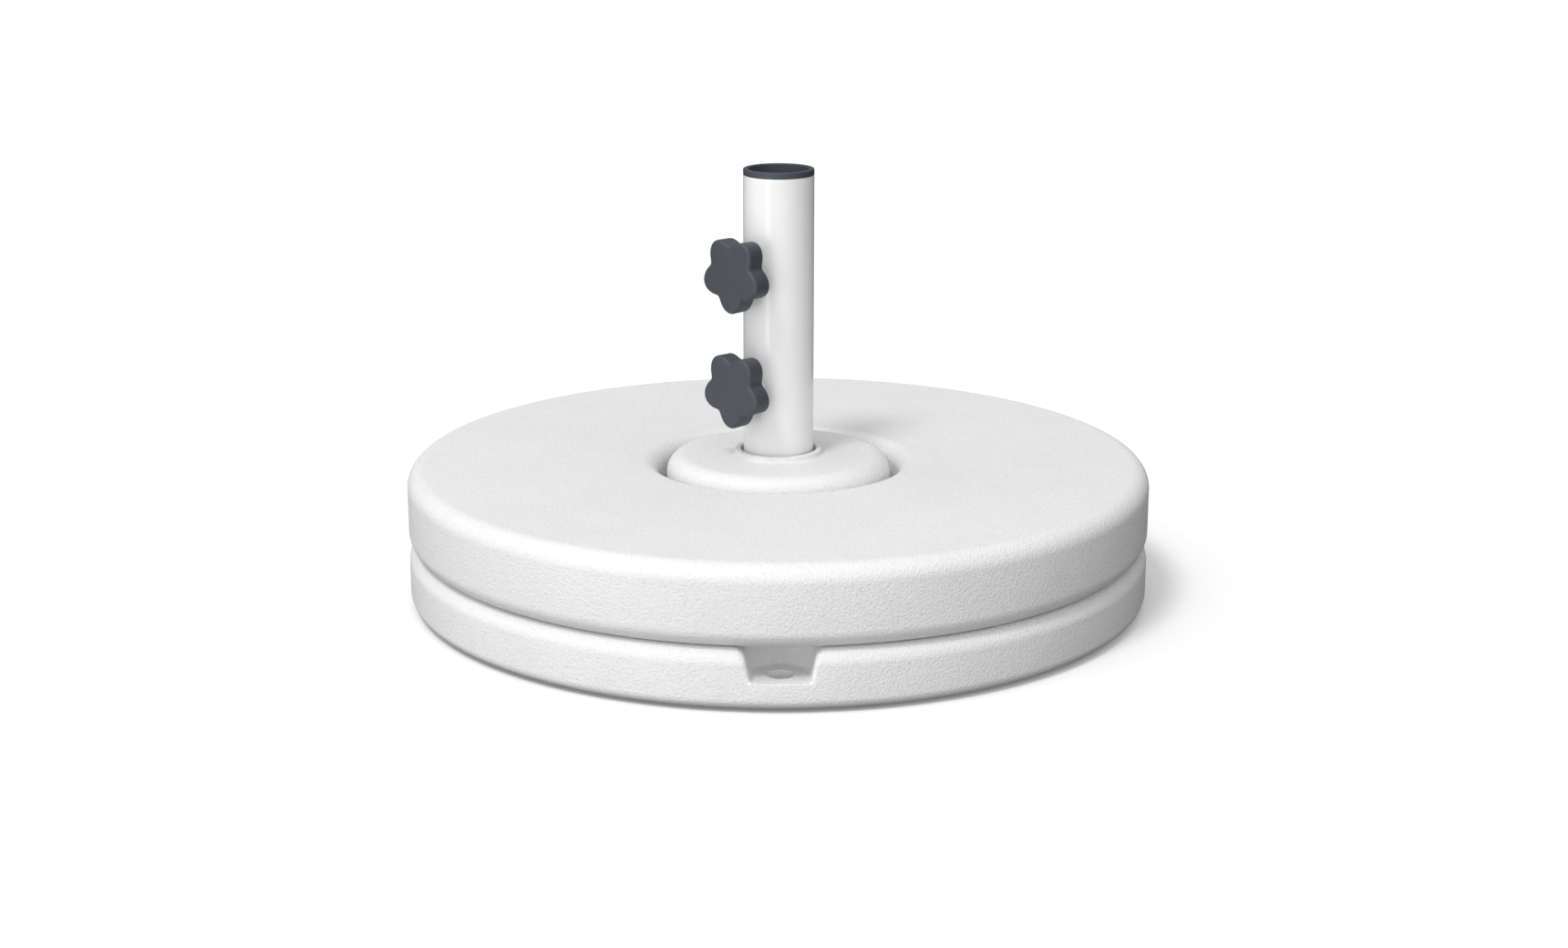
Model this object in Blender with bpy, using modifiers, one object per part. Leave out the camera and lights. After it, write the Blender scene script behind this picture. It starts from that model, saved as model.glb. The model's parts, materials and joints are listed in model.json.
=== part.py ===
"""Parasol base: two stacked round weights, a pole tube and two clamp knobs.

The lower weight is a moulded disc with a hub in its middle, which holds the
tube. The upper weight is a ring that drops over the tube and round the hub.
Metres, +Z up, origin on the floor under the tube's centre. The front pocket
of the lower weight faces -Y.
"""

import math

import bmesh
import bpy
from mathutils import Matrix, Vector

# Driving dimensions, in metres.
GAP = 0.0003                 # air between pieces that touch
WALL = 0.004                 # wall of the moulded shells

OUTER_R = 0.318              # both weights
FOOT_PROUD = 0.002           # feet below the lower shell
LOWER_BASE_Z = FOOT_PROUD
LOWER_TOP_Z = 0.0502
UPPER_BASE_Z = LOWER_TOP_Z + GAP
UPPER_TOP_Z = 0.117
LOWER_TOP_ROUND = 0.0125
LOWER_BASE_ROUND = 0.010
UPPER_ROUND = 0.015

RING_HOLE_R = 0.104
RING_LIP_ROUND = 0.014

HUB_R = 0.096
HUB_TOP_Z = 0.122
HUB_ROUND = 0.016
HUB_FOOT_ROUND = 0.006
HUB_DISH = 0.0006            # fall of the crown from its crest to the lip
LIP_OUTER_R = 0.0375
LIP_INNER_R = 0.0325
LIP_TOP_Z = 0.1264
LIP_EDGE = 0.001
BORE_STEP_Z = 0.116          # the bore widens above this height

TUBE_R = 0.030
TUBE_WALL = 0.002
TUBE_FOOT_Z = 0.0087
COLLAR_H = 0.005
TUBE_TOP_Z = 0.3627
COLLAR_TOP_Z = TUBE_TOP_Z + GAP + COLLAR_H
COLLAR_SKIRT = 0.030
SOCKET_R = 0.0254            # free bore in the collar and in the pole bush
LINER_R = TUBE_R - TUBE_WALL - 0.0004
BUSH_FLOOR = 0.004
BUSH_H = 0.020
DRAIN_R = 0.004

FLANGE_R = 0.080
FLANGE_T = 0.005
FLANGE_RECESS_R = 0.082
FLANGE_RECESS_Z = TUBE_FOOT_Z + FLANGE_T + GAP
BOLT_CIRCLE_R = 0.055
BOLT_COUNT = 4
BOLT_R = 0.0039
BOLT_HOLE_R = 0.0045
BOLT_HEAD_H = 0.005
BOLT_HEAD_R = 0.0075
BOLT_TOP_Z = 0.028
INSERT_R = 0.007
INSERT_TOP_Z = 0.0303
INSERT_BORE_R = 0.0042
INSERT_BOSS_R = 0.012

POCKET_FLOOR_Z = 0.0245
POCKET_CENTRE_Y = -0.295     # its back is a half circle about this point
POCKET_FLOOR_HALF = 0.023
POCKET_DRAFT_HALF = 0.0275   # half width where the edge rounding starts
POCKET_EDGE_HALF = 0.034     # half width at the top edge
POCKET_EDGE_Z = 0.0435

PORT_R = 0.011               # mouth of a filler port
PORT_BORE_R = 0.0088
PORT_BOSS_R = 0.014
PORT_BOSS_L = 0.0065         # threaded stretch behind the seal's seat
PLUG_HEAD_R = 0.0106
PLUG_HEAD_H = 0.003
PLUG_SHANK_R = 0.0085
PLUG_SHANK_L = 0.006
PLUG_DRIVE_R = 0.0055
PLUG_DRIVE_H = 0.0018
SEAL_H = 0.0012
SEAL_INNER_R = 0.009
LOWER_PORT = Vector((0.0, POCKET_CENTRE_Y, POCKET_FLOOR_Z))
LOWER_PORT_SINK = 0.0052
UPPER_PORT = Vector((0.0, 0.211, UPPER_BASE_Z))
UPPER_PORT_SINK = 0.0092

CLAMP_TURN = math.radians(45.0)   # knobs point this far from the front, to the left
UPPER_CLAMP_Z = 0.2842
LOWER_CLAMP_Z = 0.1857
KNOB_FACE = 0.0594           # distances along the clamp axis start at the tube's centre
KNOB_BACK = 0.0421
KNOB_TIP_R = 0.0327
KNOB_VALLEY_R = 0.0243
KNOB_LOBES = 5
KNOB_LOBE_POWER = 0.6        # below 1 makes the lobes fuller
KNOB_VALLEY_SOFT = 0.05      # above 0 rounds the valleys
KNOB_EDGE = 0.0025
STUD_R = 0.0047
STUD_END = 0.0520
STUD_SHOULDER = 0.0278
STUD_TIP_R = 0.0028
STUD_TIP = 0.0259
STUD_HOLE_R = 0.0055
NUT_FACE = 0.0355
NUT_CORNER_R = 0.0092
NUT_BORE_R = 0.0051
PAD_FACE = 0.0244
PAD_BACK = 0.0270
PAD_R = 0.006
PAD_SOCKET_R = 0.0031

FOOT_COUNT = 6
FOOT_CIRCLE_R = 0.250
FOOT_R = 0.015
FOOT_RECESS = 0.0015
FOOT_CLEAR = 0.0004

RING_STEPS = 48              # turned shapes as wide as the weights
TUBE_STEPS = 32              # the tube and what fits in it or round it
PLUG_STEPS = 24              # filler ports and plugs
SMALL_STEPS = 16             # fasteners and feet
ROUND_STEPS = 3              # segments of a rounded edge

WHITE_SHELL = ((0.86, 0.86, 0.86), 0.60, 0.0)
WHITE_COAT = ((0.88, 0.88, 0.87), 0.28, 0.0)
DARK_PLASTIC = ((0.075, 0.085, 0.098), 0.55, 0.0)
CONCRETE = ((0.42, 0.41, 0.39), 0.95, 0.0)
ZINC_STEEL = ((0.66, 0.67, 0.68), 0.35, 1.0)
BRASS = ((0.72, 0.55, 0.26), 0.35, 1.0)
RUBBER = ((0.03, 0.03, 0.03), 0.85, 0.0)

parts = None
cutters = None


def clear_scene():
    for obj in list(bpy.data.objects):
        bpy.data.objects.remove(obj, do_unlink=True)


def make_collection(name):
    group = bpy.data.collections.new(name)
    bpy.context.scene.collection.children.link(group)
    return group


def make_material(name, look):
    colour, roughness, metallic = look
    material = bpy.data.materials.new(name + "_material")
    material.use_nodes = True
    shader = material.node_tree.nodes["Principled BSDF"]
    shader.inputs["Base Color"].default_value = (*colour, 1.0)
    shader.inputs["Roughness"].default_value = roughness
    shader.inputs["Metallic"].default_value = metallic
    return material


def add_mesh(name, mesh, look=None):
    """Put a mesh in the scene: a part if it has a look, otherwise a cutter."""
    obj = bpy.data.objects.new(name, mesh)
    if look is None:
        cutters.objects.link(obj)
        obj.hide_render = True
        obj.display_type = "WIRE"
    else:
        parts.objects.link(obj)
        mesh.materials.append(make_material(name, look))
        mesh.shade_smooth()
        mesh.set_sharp_from_angle(angle=math.radians(35))
    return obj


def arc(centre, radius, start, end, steps=ROUND_STEPS):
    """Points on an arc from start to end degrees, about a (radius, height) centre."""
    points = []
    for i in range(steps + 1):
        angle = math.radians(start + (end - start) * i / steps)
        points.append((centre[0] + radius * math.cos(angle), centre[1] + radius * math.sin(angle)))
    return points


def turned(name, profile, look=None, steps=RING_STEPS, closed=True):
    """Turn a profile of (radius, height) points that runs down its outer side."""
    mesh = bpy.data.meshes.new(name)
    edges = [(i, i + 1) for i in range(len(profile) - 1)]
    if closed:
        edges.append((len(profile) - 1, 0))
    mesh.from_pydata([(r, 0.0, z) for r, z in profile], edges, [])
    obj = add_mesh(name, mesh, look)
    screw = obj.modifiers.new("turn", "SCREW")
    screw.axis = "Z"
    screw.angle = math.tau
    screw.steps = steps
    screw.render_steps = steps
    screw.use_merge_vertices = True
    screw.merge_threshold = 0.00001
    return obj


def rod(name, radius, low, high, look=None, steps=SMALL_STEPS):
    """A solid cylinder along local Z, from low to high."""
    bm = bmesh.new()
    bmesh.ops.create_cone(bm, cap_ends=True, segments=steps, radius1=radius, radius2=radius,
                          depth=high - low)
    bmesh.ops.translate(bm, verts=bm.verts, vec=(0.0, 0.0, (low + high) / 2))
    mesh = bpy.data.meshes.new(name)
    bm.to_mesh(mesh)
    bm.free()
    return add_mesh(name, mesh, look)


def boolean(obj, tool, operation="DIFFERENCE"):
    modifier = obj.modifiers.new(operation.lower() + "_" + tool.name, "BOOLEAN")
    modifier.operation = operation
    modifier.solver = "EXACT"
    modifier.object = tool


def on_circle(radius, count, index, start=0.0):
    angle = math.radians(start) + math.tau * index / count
    return radius * math.cos(angle), radius * math.sin(angle)


def lower_outline():
    """Section of the lower weight: lip, hub, disc, flange recess and bore."""
    profile = [(LIP_INNER_R, LIP_TOP_Z - LIP_EDGE), (LIP_INNER_R + LIP_EDGE, LIP_TOP_Z),
               (LIP_OUTER_R - LIP_EDGE, LIP_TOP_Z), (LIP_OUTER_R, LIP_TOP_Z - LIP_EDGE),
               (LIP_OUTER_R, HUB_TOP_Z - HUB_DISH)]
    profile += arc((HUB_R - HUB_ROUND, HUB_TOP_Z - HUB_ROUND), HUB_ROUND, 90, 0, 4)
    profile += arc((HUB_R + HUB_FOOT_ROUND, LOWER_TOP_Z + HUB_FOOT_ROUND), HUB_FOOT_ROUND, 180, 270, 2)
    profile += arc((OUTER_R - LOWER_TOP_ROUND, LOWER_TOP_Z - LOWER_TOP_ROUND), LOWER_TOP_ROUND, 90, 0)
    profile += arc((OUTER_R - LOWER_BASE_ROUND, LOWER_BASE_Z + LOWER_BASE_ROUND), LOWER_BASE_ROUND, 0, -90)
    bore_r = TUBE_R + 0.0004
    profile += [(FLANGE_RECESS_R, LOWER_BASE_Z), (FLANGE_RECESS_R, FLANGE_RECESS_Z),
                (bore_r, FLANGE_RECESS_Z), (bore_r, BORE_STEP_Z), (LIP_INNER_R, BORE_STEP_Z + 0.002)]
    return profile


def lower_inside(inset):
    """Section of the lower weight's hollow, inset from the wall's inner face."""
    wall = WALL + inset
    top = HUB_TOP_Z - wall - HUB_DISH
    hub_r = HUB_R - wall
    cover = LOWER_TOP_Z - wall
    rim = OUTER_R - wall
    base = LOWER_BASE_Z + wall
    recess_r = FLANGE_RECESS_R + wall
    recess_z = FLANGE_RECESS_Z + wall
    bore_r = TUBE_R + wall + 0.0025
    corner = HUB_ROUND - wall
    edge = LOWER_BASE_ROUND - WALL
    return [(bore_r, top), (hub_r - corner, top), (hub_r, top - corner), (hub_r, cover),
            (rim - edge, cover), (rim, cover - edge), (rim, base + edge), (rim - edge, base),
            (recess_r, base), (recess_r, recess_z), (bore_r, recess_z)]


def upper_outline():
    """Section of the upper weight: a ring with all four edges rounded."""
    profile = arc((RING_HOLE_R + RING_LIP_ROUND, UPPER_TOP_Z - RING_LIP_ROUND), RING_LIP_ROUND, 180, 90)
    profile += arc((OUTER_R - UPPER_ROUND, UPPER_TOP_Z - UPPER_ROUND), UPPER_ROUND, 90, 0)
    profile += arc((OUTER_R - UPPER_ROUND, UPPER_BASE_Z + UPPER_ROUND), UPPER_ROUND, 0, -90)
    profile += arc((RING_HOLE_R + UPPER_ROUND, UPPER_BASE_Z + UPPER_ROUND), UPPER_ROUND, -90, -180)
    return profile


def upper_inside(inset):
    """Section of the upper weight's hollow, inset from the wall's inner face."""
    wall = WALL + inset
    hole_r = RING_HOLE_R + wall
    rim = OUTER_R - wall
    base = UPPER_BASE_Z + wall
    top = UPPER_TOP_Z - wall
    edge = UPPER_ROUND - WALL
    return [(hole_r, top - edge), (hole_r + edge, top), (rim - edge, top), (rim, top - edge),
            (rim, base + edge), (rim - edge, base), (hole_r + edge, base), (hole_r, base + edge)]


def pocket(name, grow):
    """Cutter of the front pocket, or of its outside when it is grown by the wall."""
    reach = OUTER_R + 0.02
    steps = 8
    top_z = LOWER_TOP_Z + 0.002
    levels = [(POCKET_FLOOR_HALF + grow, POCKET_FLOOR_Z - grow),
              (POCKET_DRAFT_HALF + grow, POCKET_EDGE_Z),
              (POCKET_EDGE_HALF + grow, LOWER_TOP_Z),
              (POCKET_EDGE_HALF + grow, top_z)]
    bm = bmesh.new()
    rings = []
    for half, z in levels:
        outline = [(half, -reach)]
        for i in range(steps + 1):
            angle = math.pi * i / steps
            outline.append((half * math.cos(angle), POCKET_CENTRE_Y + half * math.sin(angle)))
        outline.append((-half, -reach))
        rings.append([bm.verts.new((x, y, z)) for x, y in outline])
    for low, high in zip(rings, rings[1:]):
        for i in range(len(low)):
            j = (i + 1) % len(low)
            bm.faces.new((low[i], low[j], high[j], high[i]))
    bm.faces.new(list(reversed(rings[0])))
    bm.faces.new(rings[-1])
    mesh = bpy.data.meshes.new(name)
    bm.to_mesh(mesh)
    bm.free()
    return add_mesh(name, mesh)


def port_depths(sink):
    """Depths below a port's mouth: head, seal, seal's seat, shank's end, bore's end."""
    head = sink + PLUG_HEAD_H
    seal = head + GAP
    seat = seal + SEAL_H + GAP
    return head, seal, seat, head + GAP + PLUG_SHANK_L, seat + PORT_BOSS_L


def place_port(obj, mouth, out):
    """Stand a piece built below z = 0 in a port whose mouth opens along out."""
    turn = Matrix() if out > 0 else Matrix.Rotation(math.pi, 4, "X")
    obj.matrix_world = Matrix.Translation(mouth) @ turn


def cut_port(shell, hollow, fill, prefix, mouth, out, sink):
    """Open a filler port in a shell, with a threaded boss that reaches into its hollow."""
    seat, bore_end = port_depths(sink)[2], port_depths(sink)[4]
    for target, radius, low, high, name in (
            (hollow, PORT_BOSS_R, -bore_end, 0.002, "boss"),
            (fill, PORT_BOSS_R + GAP, -bore_end - 0.02, 0.002, "boss_clearance"),
            (shell, PORT_R, -seat, 0.004, "mouth"),
            (shell, PORT_BORE_R, -bore_end - 0.001, -seat + 0.001, "thread")):
        tool = rod(prefix + "_port_" + name, radius, low, high, steps=PLUG_STEPS)
        place_port(tool, mouth, out)
        boolean(target, tool)


def make_plug(prefix, mouth, out, sink):
    """A filler plug with a hexagonal drive, and the rubber ring it presses on its seat."""
    head, seal, _, shank, _ = port_depths(sink)
    plug = turned(prefix + "_filler_plug",
                  [(0.0, -sink), (PLUG_HEAD_R - 0.0006, -sink), (PLUG_HEAD_R, -sink - 0.0006),
                   (PLUG_HEAD_R, -head), (PLUG_SHANK_R, -head),
                   (PLUG_SHANK_R, -shank + 0.001), (PLUG_SHANK_R - 0.001, -shank), (0.0, -shank)],
                  WHITE_SHELL, PLUG_STEPS, closed=False)
    drive = rod(prefix + "_plug_drive", PLUG_DRIVE_R, -sink - PLUG_DRIVE_H, -sink + 0.002, steps=6)
    ring = turned(prefix + "_plug_seal",
                  [(SEAL_INNER_R, -seal), (PLUG_HEAD_R, -seal),
                   (PLUG_HEAD_R, -seal - SEAL_H), (SEAL_INNER_R, -seal - SEAL_H)], RUBBER, PLUG_STEPS)
    for obj in (plug, drive, ring):
        place_port(obj, mouth, out)
    boolean(plug, drive)


def make_lower_weight():
    """Lower shell, its concrete filling and the pieces that are let into it."""
    shell = turned("lower_shell", lower_outline(), WHITE_SHELL)
    hollow = turned("lower_hollow", lower_inside(0.0))
    fill = turned("lower_ballast", lower_inside(GAP), CONCRETE)
    boolean(hollow, pocket("pocket_wall", WALL))
    boolean(fill, pocket("pocket_wall_clearance", WALL + GAP))
    cut_port(shell, hollow, fill, "lower", LOWER_PORT, 1, LOWER_PORT_SINK)
    for i in range(BOLT_COUNT):
        x, y = on_circle(BOLT_CIRCLE_R, BOLT_COUNT, i, 45)
        low = LOWER_BASE_Z
        for target, radius, high, name in ((hollow, INSERT_BOSS_R, INSERT_TOP_Z + GAP + WALL, "boss"),
                                           (fill, INSERT_BOSS_R + GAP, INSERT_TOP_Z + WALL + 2 * GAP,
                                            "boss_clearance"),
                                           (shell, INSERT_R + GAP, INSERT_TOP_Z + GAP, "hole")):
            tool = rod(f"insert_{name}_{i + 1}", radius, low, high)
            tool.location = (x, y, 0.0)
            boolean(target, tool)
    boolean(shell, pocket("pocket", 0.0))
    for i in range(FOOT_COUNT):
        x, y = on_circle(FOOT_CIRCLE_R, FOOT_COUNT, i)
        recess = rod(f"foot_recess_{i + 1}", FOOT_R + FOOT_CLEAR, 0.0, LOWER_BASE_Z + FOOT_RECESS)
        recess.location = (x, y, 0.0)
        boolean(shell, recess)
    # The hollow is cut last, when every boss and pocket wall has been taken out of it.
    boolean(shell, hollow)


def make_upper_weight():
    """Upper ring shell and its concrete filling."""
    shell = turned("upper_shell", upper_outline(), WHITE_SHELL)
    hollow = turned("upper_hollow", upper_inside(0.0))
    fill = turned("upper_ballast", upper_inside(GAP), CONCRETE)
    cut_port(shell, hollow, fill, "upper", UPPER_PORT, -1, UPPER_PORT_SINK)
    boolean(shell, hollow)


def make_feet():
    """Rubber feet in shallow recesses under the lower shell."""
    for i in range(FOOT_COUNT):
        top = LOWER_BASE_Z + FOOT_RECESS - GAP
        foot = turned(f"foot_{i + 1}", [(0.0, top), (FOOT_R, top), (FOOT_R, 0.0012),
                                        (FOOT_R - 0.0012, 0.0), (0.0, 0.0)],
                      RUBBER, SMALL_STEPS, closed=False)
        foot.location = (*on_circle(FOOT_CIRCLE_R, FOOT_COUNT, i), 0.0)


def make_tube():
    """Steel pole tube, drilled for both clamp studs."""
    inner = TUBE_R - TUBE_WALL
    tube = turned("pole_tube", [(inner, TUBE_TOP_Z), (TUBE_R, TUBE_TOP_Z),
                                (TUBE_R, TUBE_FOOT_Z), (inner, TUBE_FOOT_Z)], WHITE_COAT, TUBE_STEPS)
    for prefix, z in (("upper", UPPER_CLAMP_Z), ("lower", LOWER_CLAMP_Z)):
        drill = rod(prefix + "_stud_hole", STUD_HOLE_R, TUBE_R - 0.01, TUBE_R + 0.01)
        drill.matrix_world = clamp_frame(z)
        boolean(tube, drill)


def make_flange():
    """Steel plate welded round the tube's foot, with the bolts that hold it in the hub."""
    low, high = TUBE_FOOT_Z, TUBE_FOOT_Z + FLANGE_T
    hole_r = TUBE_R + GAP
    plate = turned("tube_flange", [(hole_r, high), (FLANGE_R, high), (FLANGE_R, low), (hole_r, low)],
                   ZINC_STEEL, TUBE_STEPS)
    for i in range(BOLT_COUNT):
        x, y = on_circle(BOLT_CIRCLE_R, BOLT_COUNT, i, 45)
        drill = rod(f"bolt_hole_{i + 1}", BOLT_HOLE_R, 0.0, high + 0.01)
        drill.location = (x, y, 0.0)
        boolean(plate, drill)
        make_bolt(i + 1, x, y)
        make_insert(i + 1, x, y)


def make_bolt(number, x, y):
    """Hexagon bolt: a round shank joined to a six-sided head."""
    head_top = TUBE_FOOT_Z - GAP
    bolt = rod(f"flange_bolt_{number}", BOLT_R, head_top - BOLT_HEAD_H / 2, BOLT_TOP_Z, ZINC_STEEL)
    head = rod(f"bolt_head_{number}", BOLT_HEAD_R, head_top - BOLT_HEAD_H, head_top, steps=6)
    for obj in (bolt, head):
        obj.location = (x, y, 0.0)
    boolean(bolt, head, "UNION")


def make_insert(number, x, y):
    """Blind brass insert moulded into the hub, open towards the flange."""
    low = FLANGE_RECESS_Z
    bore_top = BOLT_TOP_Z + 0.0006
    insert = turned(f"flange_insert_{number}",
                    [(0.0, INSERT_TOP_Z), (INSERT_R, INSERT_TOP_Z), (INSERT_R, low),
                     (INSERT_BORE_R, low), (INSERT_BORE_R, bore_top), (0.0, bore_top)],
                    BRASS, SMALL_STEPS, closed=False)
    insert.location = (x, y, 0.0)


def make_collar():
    """Plastic collar on the tube's mouth, with a skirt inside the tube."""
    low = COLLAR_TOP_Z - COLLAR_H
    edge = 0.0008
    turned("top_collar", [(SOCKET_R, COLLAR_TOP_Z - edge), (SOCKET_R + edge, COLLAR_TOP_Z),
                          (TUBE_R - edge, COLLAR_TOP_Z), (TUBE_R, COLLAR_TOP_Z - edge),
                          (TUBE_R, low), (LINER_R, low), (LINER_R, low - COLLAR_SKIRT),
                          (SOCKET_R, low - COLLAR_SKIRT)], DARK_PLASTIC, TUBE_STEPS)


def make_pole_bush():
    """Plastic bush in the tube's foot, where the pole stands over a drain hole."""
    low = TUBE_FOOT_Z + GAP
    floor = low + BUSH_FLOOR
    top = low + BUSH_H
    turned("pole_bush", [(SOCKET_R, top - 0.001), (SOCKET_R + 0.001, top), (LINER_R, top), (LINER_R, low),
                         (DRAIN_R, low), (DRAIN_R, floor), (SOCKET_R, floor)], DARK_PLASTIC, TUBE_STEPS)


def clamp_frame(z):
    """Local +Z points out along a clamp's axis and local +Y points up."""
    out = Vector((-math.sin(CLAMP_TURN), -math.cos(CLAMP_TURN), 0.0))
    up = Vector((0.0, 0.0, 1.0))
    frame = Matrix((up.cross(out), up, out)).transposed().to_4x4()
    frame.translation = (0.0, 0.0, z)
    return frame


def lobed_radius(angle):
    """Radius of the knob's outline at an angle from local +X."""
    lobe = 0.5 + 0.5 * math.cos(KNOB_LOBES * (angle + math.pi / 2))
    low = KNOB_VALLEY_SOFT ** KNOB_LOBE_POWER
    high = (1.0 + KNOB_VALLEY_SOFT) ** KNOB_LOBE_POWER
    share = ((lobe + KNOB_VALLEY_SOFT) ** KNOB_LOBE_POWER - low) / (high - low)
    return KNOB_VALLEY_R + (KNOB_TIP_R - KNOB_VALLEY_R) * share


def make_knob(prefix, frame):
    """Five-lobed knob, one lobe pointing down, with a blind bore for its stud."""
    bm = bmesh.new()
    outline = []
    count = 40
    for i in range(count):
        angle = math.tau * i / count
        radius = lobed_radius(angle)
        outline.append(bm.verts.new((radius * math.cos(angle), radius * math.sin(angle), KNOB_BACK)))
    back = bm.faces.new(list(reversed(outline)))
    body = bmesh.ops.extrude_face_region(bm, geom=[back], use_keep_orig=True)
    moved = [item for item in body["geom"] if isinstance(item, bmesh.types.BMVert)]
    bmesh.ops.translate(bm, verts=moved, vec=(0.0, 0.0, KNOB_FACE - KNOB_BACK))
    bmesh.ops.recalc_face_normals(bm, faces=bm.faces)
    mesh = bpy.data.meshes.new(prefix + "_knob")
    bm.to_mesh(mesh)
    bm.free()
    knob = add_mesh(prefix + "_knob", mesh, DARK_PLASTIC)
    bevel = knob.modifiers.new("edge", "BEVEL")
    bevel.width = KNOB_EDGE
    bevel.segments = 2
    bevel.limit_method = "ANGLE"
    bevel.angle_limit = math.radians(60)
    bore = rod(prefix + "_knob_bore", STUD_R + GAP, KNOB_BACK - 0.005, STUD_END + GAP)
    for obj in (knob, bore):
        obj.matrix_world = frame
    boolean(knob, bore)


def make_stud(prefix, frame):
    """Threaded stud, stepped down to the tip that carries the pad."""
    stud = turned(prefix + "_stud", [(0.0, STUD_END), (STUD_R, STUD_END), (STUD_R, STUD_SHOULDER),
                                     (STUD_TIP_R, STUD_SHOULDER - 0.0005), (STUD_TIP_R, STUD_TIP),
                                     (0.0, STUD_TIP)], ZINC_STEEL, SMALL_STEPS, closed=False)
    stud.matrix_world = frame


def make_nut(prefix, frame, envelope):
    """Hexagon nut welded on the tube, its seat hollowed to the tube's curve."""
    nut = rod(prefix + "_weld_nut", NUT_CORNER_R, TUBE_R - 0.002, NUT_FACE, WHITE_COAT, 6)
    bore = rod(prefix + "_nut_bore", NUT_BORE_R, TUBE_R - 0.01, NUT_FACE + 0.01)
    for obj in (nut, bore):
        obj.matrix_world = frame
    boolean(nut, envelope)
    boolean(nut, bore)


def make_pad(prefix, frame):
    """Plastic pressure pad that swivels on the stud's tip."""
    socket = STUD_TIP - 0.0004
    pad = turned(prefix + "_pressure_pad",
                 [(0.0, socket), (PAD_SOCKET_R, socket), (PAD_SOCKET_R, PAD_BACK), (PAD_R, PAD_BACK),
                  (PAD_R, PAD_FACE + 0.0006), (PAD_R - 0.0006, PAD_FACE), (0.0, PAD_FACE)],
                 DARK_PLASTIC, SMALL_STEPS, closed=False)
    pad.matrix_world = frame


def make_clamps():
    """Both clamps: knob, stud, weld nut and pressure pad."""
    envelope = rod("tube_envelope", TUBE_R + GAP, 0.1, 0.35, steps=TUBE_STEPS)
    for prefix, z in (("upper", UPPER_CLAMP_Z), ("lower", LOWER_CLAMP_Z)):
        frame = clamp_frame(z)
        make_knob(prefix, frame)
        make_stud(prefix, frame)
        make_nut(prefix, frame, envelope)
        make_pad(prefix, frame)


def main():
    global parts, cutters
    clear_scene()
    parts = make_collection("parasol_base")
    cutters = make_collection("parasol_base_cutters")
    make_lower_weight()
    make_upper_weight()
    make_plug("lower", LOWER_PORT, 1, LOWER_PORT_SINK)
    make_plug("upper", UPPER_PORT, -1, UPPER_PORT_SINK)
    make_feet()
    make_tube()
    make_flange()
    make_collar()
    make_pole_bush()
    make_clamps()


main()
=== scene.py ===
"""Looks of the parasol base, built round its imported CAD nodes.

Every size is in metres and every place is in the row frame: z = 0 is the floor,
the tube's axis is x = y = 0 and the front pocket faces -Y.
"""

import json
import math

import bmesh
import bpy
from mathutils import Matrix, Vector


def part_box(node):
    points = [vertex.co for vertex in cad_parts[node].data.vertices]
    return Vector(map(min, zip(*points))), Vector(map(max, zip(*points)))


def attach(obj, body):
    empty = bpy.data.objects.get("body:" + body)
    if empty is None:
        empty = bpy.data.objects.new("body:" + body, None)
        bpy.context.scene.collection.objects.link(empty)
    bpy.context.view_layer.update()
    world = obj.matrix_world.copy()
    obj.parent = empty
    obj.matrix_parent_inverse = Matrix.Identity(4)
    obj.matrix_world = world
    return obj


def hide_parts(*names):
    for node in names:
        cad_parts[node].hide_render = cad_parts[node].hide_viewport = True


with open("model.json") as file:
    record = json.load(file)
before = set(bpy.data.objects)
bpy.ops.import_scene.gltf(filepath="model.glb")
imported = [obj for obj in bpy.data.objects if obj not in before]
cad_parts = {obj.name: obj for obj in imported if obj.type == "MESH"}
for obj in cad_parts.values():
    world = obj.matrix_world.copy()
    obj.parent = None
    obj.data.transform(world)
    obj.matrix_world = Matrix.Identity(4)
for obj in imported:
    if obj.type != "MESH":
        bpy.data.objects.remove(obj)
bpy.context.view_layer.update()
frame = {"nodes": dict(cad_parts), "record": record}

FINE = math.radians(7.5)     # longest step along a rounded edge
RING_COLUMNS = 256           # columns round the weights
TUBE_COLUMNS = 144           # columns round the tube and its neighbours
SMALL_COLUMNS = 72           # columns round plugs, feet and fasteners
ROWS_PER_TURN = 12           # rows along one turn of a thread
THREAD_FLAT = 0.125          # flat at a thread's crest and root, as a share of its pitch
SHARP = math.radians(38)     # edges sharper than this stay crisp
UP = Vector((0.0, 0.0, 1.0))

BODY_OF = {node: body
           for body, nodes in frame["record"]["behaviour"]["bodies"].items()
           for node in nodes}


# Shapes ---------------------------------------------------------------------

def rounded(corners, closed=True):
    """An outline from (radius, height, rounding) corners, with an arc at each rounded one."""
    outline = []
    count = len(corners)
    for i, (r, z, rounding) in enumerate(corners):
        corner = Vector((r, z))
        ends = not closed and i in (0, count - 1)
        if rounding == 0 or ends:
            outline.append((r, z))
            continue
        before = (Vector(corners[i - 1][:2]) - corner).normalized()
        after = (Vector(corners[(i + 1) % count][:2]) - corner).normalized()
        half = before.angle(after) / 2
        centre = corner + (before + after).normalized() * (rounding / math.sin(half))
        start = corner + before * (rounding / math.tan(half)) - centre
        turn = math.pi - 2 * half
        if before.x * after.y - before.y * after.x > 0:
            turn = -turn
        steps = max(2, math.ceil(abs(turn) / FINE))
        for k in range(steps + 1):
            angle = turn * k / steps
            x = start.x * math.cos(angle) - start.y * math.sin(angle)
            y = start.x * math.sin(angle) + start.y * math.cos(angle)
            outline.append((centre.x + x, centre.y + y))
    return outline


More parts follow.
